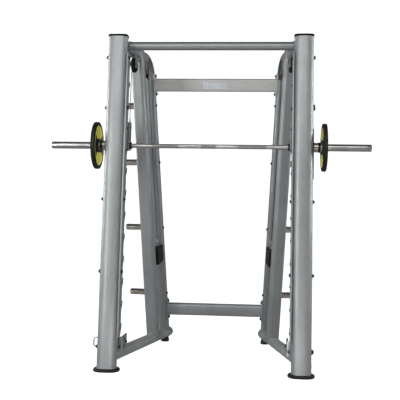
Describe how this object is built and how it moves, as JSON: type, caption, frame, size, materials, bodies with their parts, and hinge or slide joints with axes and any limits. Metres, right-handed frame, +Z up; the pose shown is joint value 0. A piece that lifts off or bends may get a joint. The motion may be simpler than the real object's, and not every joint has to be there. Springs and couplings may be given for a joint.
{
  "type": "smith machine",
  "caption": "Free-standing smith machine: leaning front posts, a counterbalanced barbell guided on inclined rods, hook racks, height stops and storage horns.",
  "frame": {"origin": "middle of the footprint, on the floor", "axes": "+Z up; +X to the right, along the bar; +Y to the rear, so the lifter enters from -Y"},
  "size_m": [2.2, 1.451, 2.264],
  "materials": {
    "silver_frame_paint": "satin metallic silver-grey powder coat",
    "chromed_bar": "polished chrome plating on steel, knurled grips",
    "chromed_guide_rod": "hard chrome plating, ground smooth",
    "chromed_horn": "chrome plating on steel tube",
    "plated_carriage": "zinc plated steel plate, satin",
    "plated_hook": "zinc plated steel plate, satin",
    "plated_hanger": "zinc plated steel, satin",
    "plated_stop": "chromed and zinc plated steel, satin",
    "bearing_steel": "ground bearing steel sleeve",
    "black_rubber_foot": "matte black moulded rubber",
    "black_rubber_buffer": "matte black moulded rubber",
    "black_end_cap": "satin black moulded plastic",
    "black_pulley": "satin black moulded nylon",
    "steel_cable": "black nylon-coated twisted steel wire",
    "coated_counterweight": "black textured powder coat",
    "coated_weight_plate": "cast iron core in black rubber with a yellow face inlay"
  },
  "bodies": {
    "frame": {"post_left": "silver_frame_paint", "post_right": "silver_frame_paint", "post_cap_left": "black_end_cap", "post_cap_right": "black_end_cap", "foot_pad_left": "black_rubber_foot", "foot_pad_right": "black_rubber_foot", "base_tube_left": "silver_frame_paint", "base_tube_right": "silver_frame_paint", "rear_foot_left": "black_rubber_foot", "rear_foot_right": "black_rubber_foot", "front_strut_left": "silver_frame_paint", "front_strut_right": "silver_frame_paint", "rear_strut_left": "silver_frame_paint", "rear_strut_right": "silver_frame_paint", "storage_horn_1_left": "chromed_horn", "storage_horn_1_right": "chromed_horn", "storage_horn_2_left": "chromed_horn", "storage_horn_2_right": "chromed_horn", "storage_horn_3_left": "chromed_horn", "storage_horn_3_right": "chromed_horn", "storage_horn_4_left": "chromed_horn", "storage_horn_4_right": "chromed_horn", "rack_plate_left": "silver_frame_paint", "rack_plate_right": "silver_frame_paint", "guide_rod_left": "chromed_guide_rod", "guide_rod_right": "chromed_guide_rod", "rod_bracket_top_left": "silver_frame_paint", "rod_bracket_top_right": "silver_frame_paint", "rod_bracket_bottom_left": "silver_frame_paint", "rod_bracket_bottom_right": "silver_frame_paint", "front_pulley_hanger_left": "plated_hanger", "front_pulley_hanger_right": "plated_hanger", "rear_pulley_hanger_left": "plated_hanger", "rear_pulley_hanger_right": "plated_hanger", "lift_cable_left": "steel_cable", "lift_cable_right": "steel_cable", "upper_cross_member": "silver_frame_paint", "lower_cross_member": "silver_frame_paint", "pull_up_bar": "silver_frame_paint"},
    "carriages": {"carriage_left": "plated_carriage", "carriage_right": "plated_carriage", "linear_bearing_left": "bearing_steel", "linear_bearing_right": "bearing_steel"},
    "barbell": {"lift_bar": "chromed_bar", "bar_sleeve_left": "chromed_bar", "bar_sleeve_right": "chromed_bar", "bar_hook_left": "plated_hook", "bar_hook_right": "plated_hook"},
    "disc_left": {"weight_plate_left": "coated_weight_plate"},
    "ballast_left": {"counterweight_left": "coated_counterweight"},
    "sheave_front_left": {"front_pulley_left": "black_pulley"},
    "sheave_rear_left": {"rear_pulley_left": "black_pulley"},
    "stop_left": {"stop_block_left": "plated_stop", "stop_buffer_left": "black_rubber_buffer"},
    "disc_right": {"weight_plate_right": "coated_weight_plate"},
    "ballast_right": {"counterweight_right": "coated_counterweight"},
    "sheave_front_right": {"front_pulley_right": "black_pulley"},
    "sheave_rear_right": {"rear_pulley_right": "black_pulley"},
    "stop_right": {"stop_block_right": "plated_stop", "stop_buffer_right": "black_rubber_buffer"}
  },
  "joints": [
    {"name": "bar_lift", "type": "slide", "parent": "frame", "child": "carriages", "axis": [0, 0.0872, 0.9962], "range_m": [-1.2045, 0.33], "deforming": ["lift_cable_left", "lift_cable_right"]},
    {"name": "bar_turn", "type": "hinge", "parent": "carriages", "child": "barbell", "pos_m": [0, -0.40065, 1.507], "axis": [-1, 0, 0], "range_deg": [-80, 0]},
    {"name": "plate_pull_left", "type": "slide", "parent": "barbell", "child": "disc_left", "axis": [-1, 0, 0], "range_m": [0, 0.3]},
    {"name": "plate_pull_right", "type": "slide", "parent": "barbell", "child": "disc_right", "axis": [1, 0, 0], "range_m": [0, 0.3]},
    {"name": "stop_height_left", "type": "slide", "parent": "frame", "child": "stop_left", "axis": [0, 0.0872, 0.9962], "range_m": [0, 0.9]},
    {"name": "stop_height_right", "type": "slide", "parent": "frame", "child": "stop_right", "axis": [0, 0.0872, 0.9962], "range_m": [0, 0.9]},
    {"name": "ballast_travel_left", "type": "slide", "parent": "frame", "child": "ballast_left", "axis": [-0.0438, -0.2175, 0.9751], "range_m": [-0.33, 1.2045]},
    {"name": "ballast_travel_right", "type": "slide", "parent": "frame", "child": "ballast_right", "axis": [0.0438, -0.2175, 0.9751], "range_m": [-0.33, 1.2045]},
    {"name": "front_pulley_spin_left", "type": "hinge", "parent": "frame", "child": "sheave_front_left", "pos_m": [-0.56039, -0.23884, 2.1], "axis": [0.9803, -0.1977, 0], "continuous": true},
    {"name": "front_pulley_spin_right", "type": "hinge", "parent": "frame", "child": "sheave_front_right", "pos_m": [0.56039, -0.23884, 2.1], "axis": [-0.9803, -0.1977, 0], "continuous": true},
    {"name": "rear_pulley_spin_left", "type": "hinge", "parent": "frame", "child": "sheave_rear_left", "pos_m": [-0.51315, -0.00455, 2.1], "axis": [0.9803, -0.1977, 0], "continuous": true},
    {"name": "rear_pulley_spin_right", "type": "hinge", "parent": "frame", "child": "sheave_rear_right", "pos_m": [0.51315, -0.00455, 2.1], "axis": [-0.9803, -0.1977, 0], "continuous": true}
  ],
  "couplings": [
    {"joint": "ballast_travel_left", "follows": "bar_lift", "ratio": -1},
    {"joint": "ballast_travel_right", "follows": "bar_lift", "ratio": -1},
    {"joint": "front_pulley_spin_left", "follows": "bar_lift", "rad_per_m": -20.492},
    {"joint": "front_pulley_spin_right", "follows": "bar_lift", "rad_per_m": 20.492},
    {"joint": "rear_pulley_spin_left", "follows": "bar_lift", "rad_per_m": -20.492},
    {"joint": "rear_pulley_spin_right", "follows": "bar_lift", "rad_per_m": 20.492}
  ]
}
